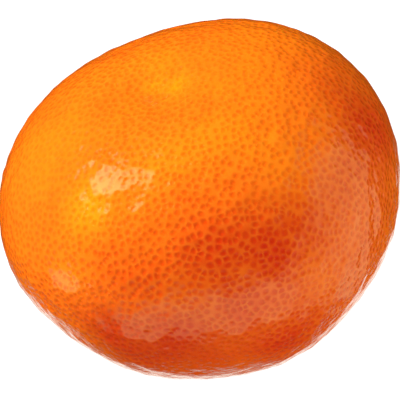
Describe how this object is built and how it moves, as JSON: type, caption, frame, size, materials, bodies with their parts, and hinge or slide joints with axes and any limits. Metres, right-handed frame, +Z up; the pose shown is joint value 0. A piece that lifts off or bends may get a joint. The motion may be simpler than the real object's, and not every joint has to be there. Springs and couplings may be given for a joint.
{
  "type": "mandarin",
  "caption": "Ripe mandarin, squat and glossy orange with pitted peel, a shallow blossom hollow on top, and a dry star-shaped calyx with a stalk stub in its stem hollow.",
  "frame": {"origin": "on the resting surface, under the middle of the object's box", "axes": "+Z up, the object's shortest extent; +X away from the side that the blossom end leans to; -Y towards the side that is seen from the front"},
  "size_m": [0.0702, 0.0682, 0.0542],
  "materials": {
    "peel": "gloss",
    "calyx": "matte"
  },
  "bodies": {
    "root": {"fruit": "peel", "calyx": "calyx"}
  },
  "joints": []
}
